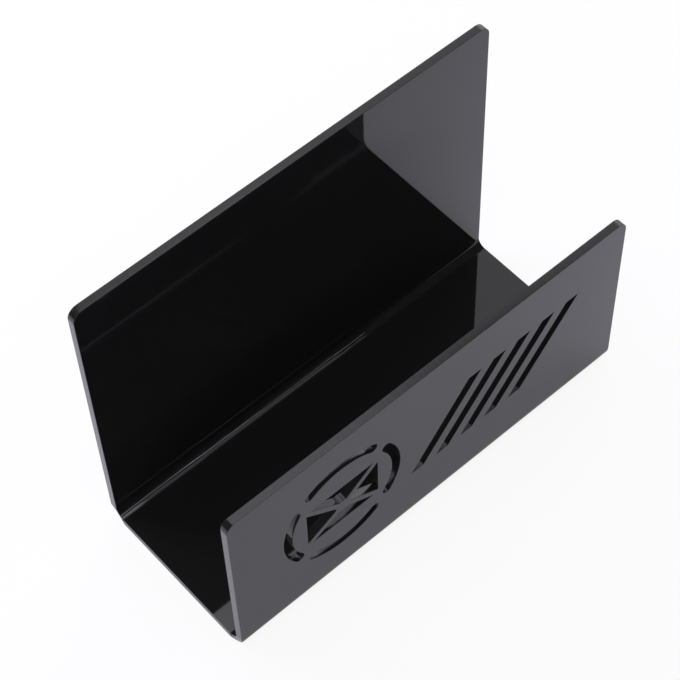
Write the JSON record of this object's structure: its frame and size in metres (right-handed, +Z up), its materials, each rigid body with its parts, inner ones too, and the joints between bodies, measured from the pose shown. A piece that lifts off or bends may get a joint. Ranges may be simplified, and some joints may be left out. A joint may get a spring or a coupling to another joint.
{
  "type": "mail organizer",
  "caption": "U-shaped desk holder for letters: gloss black acrylic sheet bent into a tall back panel, a flat base and a lower front panel with a cut-out postmark pattern.",
  "frame": {"origin": "on the surface that the holder stands on, under the middle of its overall box", "axes": "+X along the pocket, to the right seen from the front; +Y from the front panel to the back panel; +Z up"},
  "size_m": [0.17, 0.0694, 0.1215],
  "materials": {
    "black_acrylic": "gloss, as cast, with laser-cut edges"
  },
  "bodies": {
    "root": {"back_panel": "black_acrylic", "back_bend": "black_acrylic", "base_panel": "black_acrylic", "front_bend": "black_acrylic", "front_panel": "black_acrylic"}
  },
  "joints": []
}
